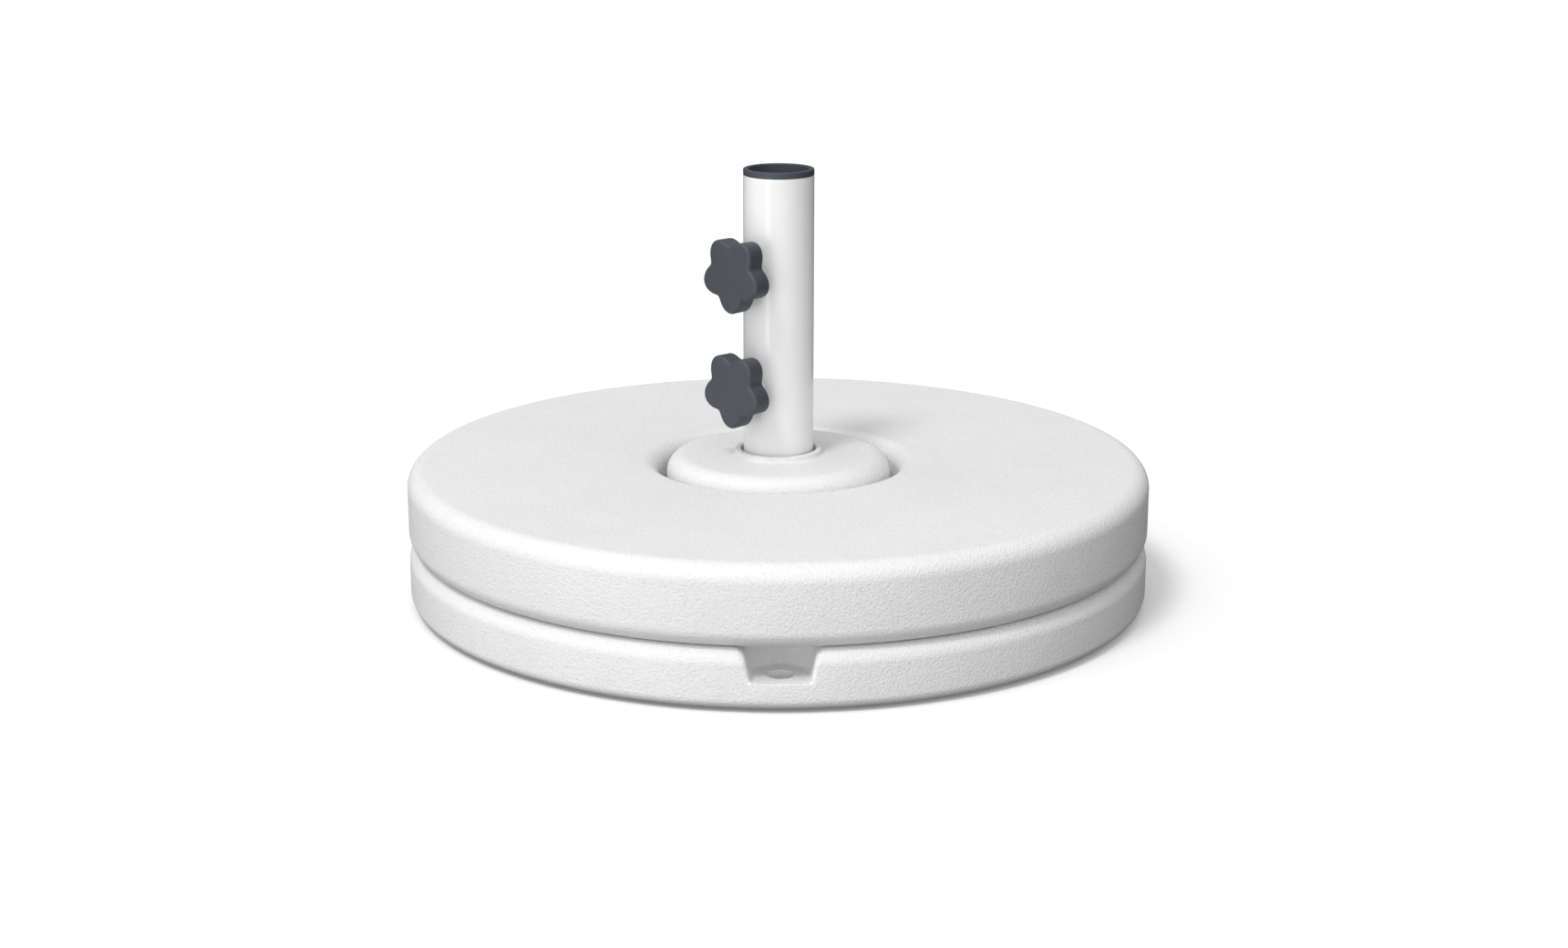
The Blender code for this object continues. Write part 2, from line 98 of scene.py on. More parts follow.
def circle(radius, height, columns):
    """One row of a turned shape: a circle, or one point on the axis."""
    if radius == 0:
        return [Vector((0.0, 0.0, height))]
    row = []
    for k in range(columns):
        angle = math.tau * k / columns
        row.append(Vector((radius * math.cos(angle), radius * math.sin(angle), height)))
    return row


def to_object(name, bm):
    """Move a bmesh into a new object in the scene."""
    mesh = bpy.data.meshes.new(name)
    bm.to_mesh(mesh)
    bm.free()
    obj = bpy.data.objects.new(name, mesh)
    bpy.context.scene.collection.objects.link(obj)
    return obj


def skin(name, rows, closed=False, place=None):
    """A surface over rows of points that run down its outer side. A row may be one point."""
    bm = bmesh.new()
    made = [[bm.verts.new(point) for point in row] for row in rows]
    pairs = list(zip(made, made[1:]))
    if closed:
        pairs.append((made[-1], made[0]))
    for high, low in pairs:
        count = max(len(high), len(low))
        for k in range(count):
            n = (k + 1) % count
            if len(high) == 1:
                bm.faces.new((high[0], low[k], low[n]))
            elif len(low) == 1:
                bm.faces.new((high[k], low[0], high[n]))
            else:
                bm.faces.new((high[k], low[k], low[n], high[n]))
    if place is not None:
        bmesh.ops.transform(bm, matrix=place, verts=bm.verts)
    return to_object(name, bm)


def spin(name, outline, columns, closed=True, place=None):
    """A turned shape from an outline of (radius, height) points."""
    return skin(name, [circle(r, z, columns) for r, z in outline], closed, place)


def apply_modifiers(obj):
    """Replace the mesh by the evaluated one."""
    graph = bpy.context.evaluated_depsgraph_get()
    mesh = bpy.data.meshes.new_from_object(obj.evaluated_get(graph))
    obj.modifiers.clear()
    obj.data = mesh


def cut(obj, cutters):
    """Cut away each cutter, then delete the cutters."""
    for cutter in cutters:
        boolean = obj.modifiers.new("cut", "BOOLEAN")
        boolean.operation = "DIFFERENCE"
        boolean.solver = "EXACT"
        boolean.object = cutter
    bpy.context.view_layer.update()
    apply_modifiers(obj)
    for cutter in cutters:
        bpy.data.objects.remove(cutter, do_unlink=True)


def smooth(obj, angle=SHARP):
    """Shade smooth, except across edges sharper than the angle."""
    obj.data.shade_smooth()
    obj.data.set_sharp_from_angle(angle=angle)


def show(obj, node, material, shading=SHARP):
    """Let a finished piece stand for a CAD node and ride on its body."""
    smooth(obj, shading)
    obj.data.materials.clear()
    obj.data.materials.append(material)
    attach(obj, BODY_OF[node])
    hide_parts(node)


def polygon_radius(angle, corner_radius, sides):
    """Distance from the centre to a regular polygon's edge, in the direction angle."""
    part = math.tau / sides
    offset = (angle % part) - part / 2
    return corner_radius * math.cos(part / 2) / math.cos(offset)


def polygon_row(corner_radius, sides, height, columns, limit=1.0):
    """One row on a prism, kept inside a circle of radius limit to chamfer its corners."""
    row = []
    for k in range(columns):
        angle = math.tau * k / columns
        radius = min(limit, polygon_radius(angle, corner_radius, sides))
        row.append(Vector((radius * math.cos(angle), radius * math.sin(angle), height)))
    return row


def thread_rows(major, depth, pitch, top, bottom, columns):
    """Rows of a right-hand thread from top down to bottom, run out at both ends."""
    rows = []
    count = math.ceil((top - bottom) / pitch * ROWS_PER_TURN)
    for i in range(count + 1):
        z = top + (bottom - top) * i / count
        run_out = min(1.0, (top - z) / pitch, (z - bottom) / pitch)
        row = []
        for k in range(columns):
            phase = (z / pitch - k / columns) % 1.0
            crest = abs(2.0 * phase - 1.0)
            groove = min(1.0, max(0.0, (1.0 + 2.0 * THREAD_FLAT) * crest - THREAD_FLAT))
            radius = major - depth * (1.0 - run_out * (1.0 - groove))
            angle = math.tau * k / columns
            row.append(Vector((radius * math.cos(angle), radius * math.sin(angle), z)))
        rows.append(row)
    return rows


# Materials ------------------------------------------------------------------

class Look:
    """A Principled material with helpers that add grain, variation and relief."""

    def __init__(self, name, colour, roughness, metallic=0.0):
        """Start with a plain colour, roughness and metallic value."""
        self.material = bpy.data.materials.new(name)
        self.material.use_nodes = True
        self.tree = self.material.node_tree
        self.shader = self.tree.nodes["Principled BSDF"]
        self.shader.inputs["Base Color"].default_value = (*colour, 1.0)
        self.shader.inputs["Roughness"].default_value = roughness
        self.shader.inputs["Metallic"].default_value = metallic
        self.place = self.tree.nodes.new("ShaderNodeTexCoord").outputs["Object"]
        self.relief = None

    def join(self, source, target):
        """Link an output to an input."""
        self.tree.links.new(source, target)

    def stretched(self, scale):
        """Object coordinates scaled along each axis, for marks with a direction."""
        mapping = self.tree.nodes.new("ShaderNodeMapping")
        mapping.inputs["Scale"].default_value = scale
        self.join(self.place, mapping.inputs["Vector"])
        return mapping.outputs["Vector"]

    def noise(self, scale, detail=2.0, where=None):
        """Soft noise with about this many features in a metre."""
        node = self.tree.nodes.new("ShaderNodeTexNoise")
        node.inputs["Scale"].default_value = scale
        node.inputs["Detail"].default_value = detail
        self.join(where or self.place, node.inputs["Vector"])
        return node.outputs["Fac"]

    def cells(self, scale):
        """Distance to the nearest of scattered points, about this many in a metre."""
        node = self.tree.nodes.new("ShaderNodeTexVoronoi")
        node.inputs["Scale"].default_value = scale
        self.join(self.place, node.inputs["Vector"])
        return node.outputs["Distance"]

    def ramp(self, source, low, high):
        """The source's part between low and high, spread over 0 to 1."""
        node = self.tree.nodes.new("ShaderNodeMapRange")
        node.inputs["From Min"].default_value = low
        node.inputs["From Max"].default_value = high
        self.join(source, node.inputs["Value"])
        return node.outputs["Result"]

    def colours(self, share, first, second):
        """Mix two colours by share, on top of what the base colour already is."""
        mix = self.tree.nodes.new("ShaderNodeMix")
        mix.data_type = "RGBA"
        mix.inputs["A"].default_value = (*first, 1.0)
        mix.inputs["B"].default_value = (*second, 1.0)
        self.join(share, mix.inputs["Factor"])
        target = self.shader.inputs["Base Color"]
        if target.is_linked:
            self.join(target.links[0].from_socket, mix.inputs["A"])
        self.join(mix.outputs["Result"], target)

    def gloss(self, share, low, high):
        """Vary the roughness from low to high by share."""
        node = self.tree.nodes.new("ShaderNodeMapRange")
        node.inputs["To Min"].default_value = low
        node.inputs["To Max"].default_value = high
        self.join(share, node.inputs["Value"])
        self.join(node.outputs["Result"], self.shader.inputs["Roughness"])

    def bump(self, height, distance, strength=1.0):
        """Add relief of a given depth, in metres, on top of what is there."""
        node = self.tree.nodes.new("ShaderNodeBump")
        node.inputs["Distance"].default_value = distance
        node.inputs["Strength"].default_value = strength
        self.join(height, node.inputs["Height"])
        if self.relief is not None:
            self.join(self.relief, node.inputs["Normal"])
        self.relief = node.outputs["Normal"]
        self.join(self.relief, self.shader.inputs["Normal"])


def white_shell():
    """Moulded polyethylene: matt, with a sandy grain and a faint unevenness."""
    look = Look("white_shell", (0.84, 0.84, 0.84), 0.55)
    look.shader.inputs["Specular IOR Level"].default_value = 0.25
    look.colours(look.ramp(look.noise(14.0, 3.0), 0.35, 0.65),
                 (0.845, 0.846, 0.848), (0.825, 0.826, 0.826))
    look.colours(look.ramp(look.noise(520.0, 4.0), 0.50, 0.72),
                 (0.84, 0.84, 0.84), (0.75, 0.75, 0.75))
    look.gloss(look.noise(60.0, 4.0), 0.48, 0.64)
    look.bump(look.noise(22.0, 1.0), 0.0030, 0.10)
    look.bump(look.noise(500.0, 4.0), 0.0009, 0.9)
    return look.material


def white_plug():
    """The same plastic moulded smooth, for the filler plugs."""
    look = Look("white_plug", (0.82, 0.82, 0.82), 0.38)
    look.colours(look.ramp(look.noise(90.0, 3.0), 0.35, 0.65),
                 (0.83, 0.83, 0.83), (0.80, 0.80, 0.80))
    look.gloss(look.noise(200.0, 3.0), 0.32, 0.46)
    look.bump(look.noise(900.0, 2.0), 0.00005, 0.4)
    return look.material


def white_coat():
    """Powder coat on steel: smooth and half glossy, with a fine orange peel."""
    look = Look("white_coat", (0.86, 0.86, 0.855), 0.30)
    look.colours(look.ramp(look.noise(25.0, 3.0), 0.35, 0.65),
                 (0.862, 0.862, 0.858), (0.848, 0.849, 0.848))
    look.gloss(look.noise(120.0, 3.0), 0.18, 0.26)
    look.bump(look.noise(330.0, 2.0), 0.00006, 0.5)
    look.bump(look.noise(1500.0, 2.0), 0.00002, 0.4)
    return look.material


def dark_plastic():
    """Glass-filled nylon, blue-grey, with the fine spark grain of its mould."""
    look = Look("dark_plastic", (0.050, 0.059, 0.069), 0.52)
    look.colours(look.ramp(look.noise(500.0, 3.0), 0.35, 0.70),
                 (0.049, 0.058, 0.068), (0.055, 0.064, 0.075))
    look.gloss(look.noise(500.0, 3.0), 0.46, 0.60)
    look.bump(look.cells(1500.0), 0.00008, 0.45)
    look.bump(look.noise(2600.0, 2.0), 0.00004, 0.5)
    return look.material


def concrete():
    """Cast concrete with fine aggregate and pores."""
    look = Look("concrete", (0.42, 0.41, 0.39), 0.92)
    look.colours(look.ramp(look.noise(70.0, 8.0), 0.30, 0.70),
                 (0.46, 0.45, 0.43), (0.33, 0.32, 0.30))
    look.colours(look.ramp(look.cells(240.0), 0.0, 0.25),
                 (0.42, 0.41, 0.39), (0.30, 0.29, 0.27))
    look.bump(look.noise(300.0, 8.0), 0.0006, 0.8)
    return look.material


def zinc_steel():
    """Bright zinc plating with a faint spangle and fine handling marks."""
    look = Look("zinc_steel", (0.62, 0.63, 0.64), 0.36, 1.0)
    look.colours(look.ramp(look.cells(260.0), 0.2, 0.9),
                 (0.66, 0.67, 0.68), (0.55, 0.56, 0.58))
    look.gloss(look.noise(160.0, 6.0), 0.28, 0.50)
    look.bump(look.noise(900.0, 4.0), 0.00004, 0.5)
    look.bump(look.noise(60.0, 3.0, look.stretched((1.0, 30.0, 30.0))), 0.00003, 0.4)
    return look.material


def brass():
    """Turned brass with darker stains and fine lathe marks."""
    look = Look("brass", (0.72, 0.55, 0.26), 0.33, 1.0)
    look.colours(look.ramp(look.noise(240.0, 5.0), 0.35, 0.75),
                 (0.74, 0.57, 0.28), (0.52, 0.37, 0.17))
    look.gloss(look.noise(400.0, 4.0), 0.25, 0.45)
    look.bump(look.noise(90.0, 2.0, look.stretched((1.0, 1.0, 40.0))), 0.00004, 0.5)
    return look.material


def rubber():
    """Matt black rubber with a little dust on it."""
    look = Look("rubber", (0.028, 0.028, 0.028), 0.80)
    look.colours(look.ramp(look.noise(150.0, 4.0), 0.4, 0.7),
                 (0.026, 0.026, 0.026), (0.045, 0.044, 0.042))
    look.gloss(look.noise(300.0, 3.0), 0.70, 0.90)
    look.bump(look.noise(1200.0, 3.0), 0.0001, 0.5)
    return look.material


SHELL = white_shell()
PLUG = white_plug()
COAT = white_coat()
PLASTIC = dark_plastic()
CONCRETE = concrete()
ZINC = zinc_steel()
BRASS = brass()
RUBBER = rubber()


# Sizes of the weights -------------------------------------------------------

OUTER_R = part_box("lower_shell")[1].x
BASE_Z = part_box("lower_shell")[0].z
LIP_TOP_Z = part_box("lower_shell")[1].z
UPPER_BASE_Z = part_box("upper_shell")[0].z
UPPER_TOP_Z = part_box("upper_shell")[1].z
TUBE_R = 0.030
TUBE_WALL = 0.002
TUBE_FOOT_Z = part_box("pole_tube")[0].z
TUBE_TOP_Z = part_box("pole_tube")[1].z
GAP = 0.0003                 # air between pieces that touch
LOWER_TOP_Z = UPPER_BASE_Z - GAP
FLANGE_TOP_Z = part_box("tube_flange")[1].z

HUB_TOP_Z = 0.122
HUB_R = 0.0963
HUB_CREST_R = 0.064          # where the crown stands highest
HUB_ROUND = 0.016
HUB_FOOT_ROUND = 0.006
HUB_DISH = 0.0006            # fall of the crown from its crest to the lip
LIP_INNER_R = 0.0325
LIP_OUTER_R = 0.0375
BORE_STEP_Z = 0.116          # the bore widens above this height
LOWER_TOP_ROUND = 0.0125
LOWER_BASE_ROUND = 0.010
FLANGE_RECESS_R = 0.082
RING_HOLE_R = 0.104
RING_LIP_ROUND = 0.014
UPPER_ROUND = 0.015
POCKET_FLOOR_Z = 0.0245
POCKET_CENTRE_Y = -0.295     # the pocket's back is a half circle about this point
POCKET_FLOOR_HALF = 0.023    # half the pocket's width at its floor
POCKET_DRAFT = 0.185         # how much each wall leans out, per height
POCKET_HALVES = 10           # columns on each side of the pocket's middle
POCKET_MARGIN = math.radians(2.4)    # from the pocket to the next column, wider than its edge's rounding
POCKET_FAN_R = 0.255         # the columns in front fan out from the tube up to this radius
POCKET_EDGE_ROUND = 0.0077   # rounding of the top edge; the edges below take a share of it
POCKET_SIDE_SHARE = 0.50
POCKET_SILL_SHARE = 0.10
POCKET_FLOOR_SHARE = 0.35
PORT_R = 0.0103              # mouth of a filler port
PORT_BORE_R = 0.0088
LOWER_PORT = Vector((0.0, POCKET_CENTRE_Y, POCKET_FLOOR_Z))
LOWER_PORT_SINK = 0.0052     # depth of the plug's head below the mouth
LOWER_PORT_SEAT = 0.0100     # depth of the seal's seat below the mouth
UPPER_PORT = Vector((0.0, 0.211, UPPER_BASE_Z))
UPPER_PORT_SINK = 0.0092
UPPER_PORT_SEAT = 0.0140
FOOT_COUNT = 6
FOOT_R = 0.015
BOLT_COUNT = 4
INSERT_R = 0.007


def pocket_half(z):
    """Half the pocket's width at a height, before its edges are rounded."""
    height = min(max(z, POCKET_FLOOR_Z), LOWER_TOP_Z)
    return POCKET_FLOOR_HALF + (height - POCKET_FLOOR_Z) * POCKET_DRAFT


POCKET_END_R = math.hypot(pocket_half(LOWER_TOP_Z), POCKET_CENTRE_Y)


# Lower weight ---------------------------------------------------------------

def lower_outline():
    """The lower weight's section, with rows at the pocket's back and at its floor."""
    recess_top = FLANGE_TOP_Z + GAP
    bore_r = TUBE_R + 0.0004
    return rounded([
        (LIP_INNER_R, LIP_TOP_Z, 0.0010),
        (LIP_OUTER_R, LIP_TOP_Z, 0.0016),
        (LIP_OUTER_R, HUB_TOP_Z - HUB_DISH, 0.0030),
        (HUB_CREST_R, HUB_TOP_Z, 0.20),
        (HUB_R, HUB_TOP_Z, HUB_ROUND),
        (HUB_R, LOWER_TOP_Z, HUB_FOOT_ROUND),
        (POCKET_FAN_R, LOWER_TOP_Z, 0),
        (POCKET_END_R, LOWER_TOP_Z, 0),
        (OUTER_R, LOWER_TOP_Z, LOWER_TOP_ROUND),
        (OUTER_R, POCKET_FLOOR_Z, 0),
        (OUTER_R, BASE_Z, LOWER_BASE_ROUND),
        (FLANGE_RECESS_R, BASE_Z, 0.001),
        (FLANGE_RECESS_R, recess_top, 0.001),
        (bore_r, recess_top, 0),
        (bore_r, BORE_STEP_Z, 0),
        (LIP_INNER_R, BORE_STEP_Z + 0.002, 0),
    ])


def pocket_turns():
    """Angles from one end of the pocket's half-round back to the other."""
    return [math.pi / 2 * i / POCKET_HALVES for i in range(-POCKET_HALVES, POCKET_HALVES + 1)]


def pocket_angles(r, z):
    """Angles of the columns in front, as wide as the pocket at this height."""
    radius = max(r, POCKET_FAN_R)
    return [math.asin(pocket_half(z) * math.sin(turn) / radius) for turn in pocket_turns()]


def pocket_back(z):
    """Points on the pocket's half-round back at a height."""
    half = pocket_half(z)
    return [Vector((half * math.sin(turn), POCKET_CENTRE_Y + half * math.cos(turn), z))
            for turn in pocket_turns()]


def lower_angles(r, z):
    """Angles of all columns, from the front and turning towards +X."""
    start = math.asin(pocket_half(LOWER_TOP_Z) / POCKET_FAN_R) + POCKET_MARGIN
    step = (math.tau - 2 * start) / (RING_COLUMNS - 1)
    return pocket_angles(r, z) + [start + step * k for k in range(RING_COLUMNS)]


def front_point(angle, r, z):
    """A point at an angle from the front, which grows towards +X."""
    return Vector((r * math.sin(angle), -r * math.cos(angle), z))


def side_share(z):
    """Share of the rounding a side edge takes: all of it on top, less on the upright side."""
    height = min(max((z - LOWER_TOP_Z + LOWER_TOP_ROUND) / LOWER_TOP_ROUND, 0.0), 1.0)
    rise = math.asin(height) / (math.pi / 2)
    ease = rise * rise * (3.0 - 2.0 * rise)
    return POCKET_SIDE_SHARE + (1.0 - POCKET_SIDE_SHARE) * ease


def add_pocket(bm, rows, top, bottom, weight):
    """Line the opening between two rows in front with a floor, a round back and side walls."""
    width = 2 * POCKET_HALVES
    for vert, point in zip(rows[top], pocket_back(LOWER_TOP_Z)):
        vert.co = point
    middle_y = (POCKET_CENTRE_Y - OUTER_R) / 2
    middle_z = (POCKET_FLOOR_Z + LOWER_TOP_Z) / 2
    floor_back = [bm.verts.new(point) for point in pocket_back(POCKET_FLOOR_Z)]
    floor_middle = [bm.verts.new((vert.co.x, middle_y, POCKET_FLOOR_Z)) for vert in floor_back]
    wall_middle = [bm.verts.new(point) for point in pocket_back(middle_z)]
    strips = [rows[bottom][:width + 1], floor_middle, floor_back, wall_middle, rows[top][:width + 1]]
    for near, far in zip(strips, strips[1:]):
        for k in range(width):
            bm.faces.new((near[k], near[k + 1], far[k + 1], far[k]))
    for k in (0, width):
        seam = bm.edges.get((rows[top - 1][k], rows[top][k]))
        bmesh.ops.dissolve_edges(bm, edges=[seam], use_verts=False)
        rim = [rows[i][k] for i in range(top, bottom + 1)]
        wall = bm.faces.new(rim + [floor_middle[k], floor_back[k], wall_middle[k]])
        wall.normal_update()
        if (wall.calc_center_median().x > 0) == (wall.normal.x > 0):
            wall.normal_flip()
        for first, second in zip(rim, rim[1:]):
            set_weights(bm, (first, second), weight, side_share((first.co.z + second.co.z) / 2))
        set_weights(bm, (rim[-1], floor_middle[k], floor_back[k]), weight, POCKET_FLOOR_SHARE)
    set_weights(bm, rows[top][:width + 1], weight, 1.0)
    set_weights(bm, rows[bottom][:width + 1], weight, POCKET_SILL_SHARE)
    set_weights(bm, floor_back, weight, POCKET_FLOOR_SHARE)


def set_weights(bm, line, weight, value):
    """Set the bevel weight of the edges along a line of vertices."""
    for first, second in zip(line, line[1:]):
        bm.edges.get((first, second))[weight] = value


def port_place(mouth, out):
    """Local +Z points out of the port: up for out > 0, down otherwise."""
    turn = Matrix() if out > 0 else Matrix.Rotation(math.pi, 4, "X")
    return Matrix.Translation(mouth) @ turn


def port_cutter(name, mouth, out, seat, bore_end):
    """Cutter of a filler port: a rounded mouth, a seat for the seal and a bore."""
    above = 0.004
    mouth_r = PORT_R + 0.0004
    outline = rounded([(0.0, above, 0), (mouth_r, above, 0), (mouth_r, 0.0, 0),
                       (PORT_R, -0.0005, 0.0004), (PORT_R, -seat, 0), (PORT_BORE_R, -seat, 0),
                       (PORT_BORE_R, -bore_end, 0), (0.0, -bore_end, 0)], closed=False)
    return spin(name, outline, SMALL_COLUMNS, closed=False, place=port_place(mouth, out))


def disc_cutter(name, x, y, radius, low, high):
    """Cutter of a round hole along Z."""
    outline = [(0.0, high), (radius, high), (radius, low), (0.0, low)]
    return spin(name, outline, SMALL_COLUMNS, closed=False, place=Matrix.Translation((x, y, 0.0)))


def centre_of(node):
    """Middle of a CAD node's box."""
    low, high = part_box(node)
    return (low + high) / 2


def row_index(outline, r, z):
    """The number of the row that stands at a given radius and height."""
    return min(range(len(outline)), key=lambda i: math.hypot(outline[i][0] - r, outline[i][1] - z))


def make_lower_shell():
    """The turned disc with its hub, the pocket, the port and the recesses under it."""
    outline = lower_outline()
    bm = bmesh.new()
    rows = [[bm.verts.new(front_point(a, r, z)) for a in lower_angles(r, z)] for r, z in outline]
    count = len(rows[0])
    top = row_index(outline, POCKET_END_R, LOWER_TOP_Z)
    bottom = row_index(outline, OUTER_R, POCKET_FLOOR_Z)
    for i, (high, low) in enumerate(zip(rows, rows[1:] + rows[:1])):
        # Between these two rows the columns in front are left open for the pocket.
        opening = 2 * POCKET_HALVES if top <= i < bottom else 0
        for k in range(opening, count):
            n = (k + 1) % count
            bm.faces.new((high[k], low[k], low[n], high[n]))
    weight = bm.edges.layers.float.new("bevel_weight_edge")
    add_pocket(bm, rows, top, bottom, weight)
    loose = [vert for vert in bm.verts if not vert.link_faces]
    bmesh.ops.delete(bm, geom=loose, context="VERTS")
    shell = to_object("lower_shell_skin", bm)
    bevel = shell.modifiers.new("pocket_edges", "BEVEL")
    bevel.limit_method = "WEIGHT"
    bevel.offset_type = "OFFSET"
    bevel.width = POCKET_EDGE_ROUND
    bevel.segments = 6
    bevel.use_clamp_overlap = False
    bevel.loop_slide = False
    bpy.context.view_layer.update()
    apply_modifiers(shell)
    cutters = [port_cutter("lower_port_cut", LOWER_PORT, 1, LOWER_PORT_SEAT, 0.018)]
    for i in range(FOOT_COUNT):
        foot = centre_of(f"foot_{i + 1}")
        cutters.append(disc_cutter(f"foot_cut_{i + 1}", foot.x, foot.y, FOOT_R + 0.0004,
                                   0.0, BASE_Z + 0.0015))
    for i in range(BOLT_COUNT):
        insert = centre_of(f"flange_insert_{i + 1}")
        top_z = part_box(f"flange_insert_{i + 1}")[1].z + GAP
        cutters.append(disc_cutter(f"insert_cut_{i + 1}", insert.x, insert.y, INSERT_R + GAP,
                                   BASE_Z, top_z))
    cut(shell, cutters)
    show(shell, "lower_shell", SHELL)


# Upper weight ---------------------------------------------------------------

def make_upper_shell():
    """The ring weight, with its port underneath."""
    outline = rounded([(RING_HOLE_R, UPPER_TOP_Z, RING_LIP_ROUND), (OUTER_R, UPPER_TOP_Z, UPPER_ROUND),
                       (OUTER_R, UPPER_BASE_Z, UPPER_ROUND), (RING_HOLE_R, UPPER_BASE_Z, UPPER_ROUND)])
    shell = spin("upper_shell_skin", outline, RING_COLUMNS)
    cut(shell, [port_cutter("upper_port_cut", UPPER_PORT, -1, UPPER_PORT_SEAT, 0.022)])
    show(shell, "upper_shell", SHELL)


# Filler plugs and their seals -----------------------------------------------

PLUG_HEAD_R = 0.0100
PLUG_HEAD_H = 0.003
PLUG_SHANK_R = 0.0085
PLUG_SHANK_L = 0.0063
PLUG_DRIVE_R = 0.0055        # to the corners of the hexagon
PLUG_DRIVE_H = 0.0018
PLUG_PITCH = 0.002
SEAL_INNER_R = 0.009
SEAL_H = 0.0012
SEAL_ROUND = 0.0003


def make_plug(prefix, mouth, out, sink):
    """A plug with a hexagon drive, a head with a soft edge and a threaded shank."""
    columns = SMALL_COLUMNS
    place = port_place(mouth, out)
    head = -sink - PLUG_HEAD_H
    shank = head - PLUG_SHANK_L
    drive = -sink - PLUG_DRIVE_H
    rows = [circle(0.0, drive, columns)]
    for r, z in ((PLUG_DRIVE_R - 0.0002, drive), (PLUG_DRIVE_R, drive + 0.0002),
                 (PLUG_DRIVE_R, -sink - 0.0003), (PLUG_DRIVE_R + 0.0003, -sink)):
        rows.append(polygon_row(r, 6, z, columns))
    for r, z in rounded([(0.007, -sink, 0), (PLUG_HEAD_R, -sink, 0.0006), (PLUG_HEAD_R, head, 0.0003),
                         (PLUG_SHANK_R, head, 0), (PLUG_SHANK_R, head - 0.0004, 0)], closed=False):
        rows.append(circle(r, z, columns))
    rows += thread_rows(PLUG_SHANK_R, 0.0007, PLUG_PITCH, head - 0.0005, shank + 0.001, columns)
    rows += [circle(PLUG_SHANK_R - 0.0012, shank, columns), circle(0.0, shank, columns)]
    plug = skin(prefix + "_filler_plug_skin", rows, place=place)
    show(plug, prefix + "_filler_plug", PLUG)
    top = head - GAP
    low = top - SEAL_H
    seal = spin(prefix + "_plug_seal_skin",
                rounded([(SEAL_INNER_R, top, SEAL_ROUND), (PLUG_HEAD_R, top, SEAL_ROUND),
                         (PLUG_HEAD_R, low, SEAL_ROUND), (SEAL_INNER_R, low, SEAL_ROUND)]),
                columns, place=place)
    show(seal, prefix + "_plug_seal", RUBBER)


# Feet -----------------------------------------------------------------------

def make_feet():
    """Rubber feet with rings moulded in their soles."""
    groove = 0.0006
    for i in range(FOOT_COUNT):
        node = f"foot_{i + 1}"
        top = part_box(node)[1].z
        corners = [(0.0, top, 0), (FOOT_R, top, 0.0003), (FOOT_R, 0.0, 0.0010)]
        for ring in (0.0115, 0.0085, 0.0055):
            corners += [(ring + groove, 0.0, 0), (ring, groove, 0), (ring - groove, 0.0, 0)]
        corners.append((0.0, 0.0, 0))
        middle = centre_of(node)
        foot = spin(node + "_skin", rounded(corners, closed=False), SMALL_COLUMNS, closed=False,
                    place=Matrix.Translation((middle.x, middle.y, 0.0)))
        show(foot, node, RUBBER)


# Tube, flange, bolts, collar and bush ---------------------------------------

def clamp_frame(node):
    """Local +Z points out along the clamp's axis and local +Y points up."""
    out = Vector((-math.sqrt(0.5), -math.sqrt(0.5), 0.0))
    place = Matrix((UP.cross(out), UP, out)).transposed().to_4x4()
    place.translation = (0.0, 0.0, centre_of(node).z)
    return place


CLAMPS = {prefix: clamp_frame(prefix + "_stud") for prefix in ("upper", "lower")}
STUD_HOLE_R = 0.0055
BOLT_HOLE_R = 0.0045
BOLT_R = 0.0039
BOLT_CORNER_R = 0.0075
BOLT_HEAD_H = 0.005
SOCKET_R = 0.0254            # bore of the collar and of the bush
LINER_R = 0.0276             # outside of the collar's skirt and of the bush
COLLAR_H = 0.005
BUSH_FLOOR = 0.004
DRAIN_R = 0.004


def make_tube():
    """The tube, drilled for the two studs."""
    edge = 0.0005
    inner = TUBE_R - TUBE_WALL
    tube = spin("pole_tube_skin",
                rounded([(inner, TUBE_TOP_Z, edge), (TUBE_R, TUBE_TOP_Z, edge),
                         (TUBE_R, TUBE_FOOT_Z, edge), (inner, TUBE_FOOT_Z, edge)]), TUBE_COLUMNS)
    outside = TUBE_R + 0.010
    inside = TUBE_R - 0.010
    outline = [(0.0, outside), (STUD_HOLE_R, outside), (STUD_HOLE_R, inside), (0.0, inside)]
    drills = []
    for prefix, place in CLAMPS.items():
        drills.append(spin(prefix + "_drill", outline, SMALL_COLUMNS, closed=False, place=place))
    cut(tube, drills)
    show(tube, "pole_tube", COAT)


def make_flange():
    """The plate under the hub, with its bolts."""
    low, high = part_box("tube_flange")
    outer = high.x
    hole_r = TUBE_R + GAP
    edge = 0.0007
    plate = spin("tube_flange_skin",
                 rounded([(hole_r, high.z, 0), (outer, high.z, edge), (outer, low.z, edge),
                          (hole_r, low.z, 0.0003)]), TUBE_COLUMNS)
    holes = []
    for i in range(BOLT_COUNT):
        middle = centre_of(f"flange_bolt_{i + 1}")
        holes.append(disc_cutter(f"bolt_cut_{i + 1}", middle.x, middle.y, BOLT_HOLE_R,
                                 0.0, high.z + 0.01))
        make_bolt(i + 1, middle)
    cut(plate, holes)
    show(plate, "tube_flange", ZINC)


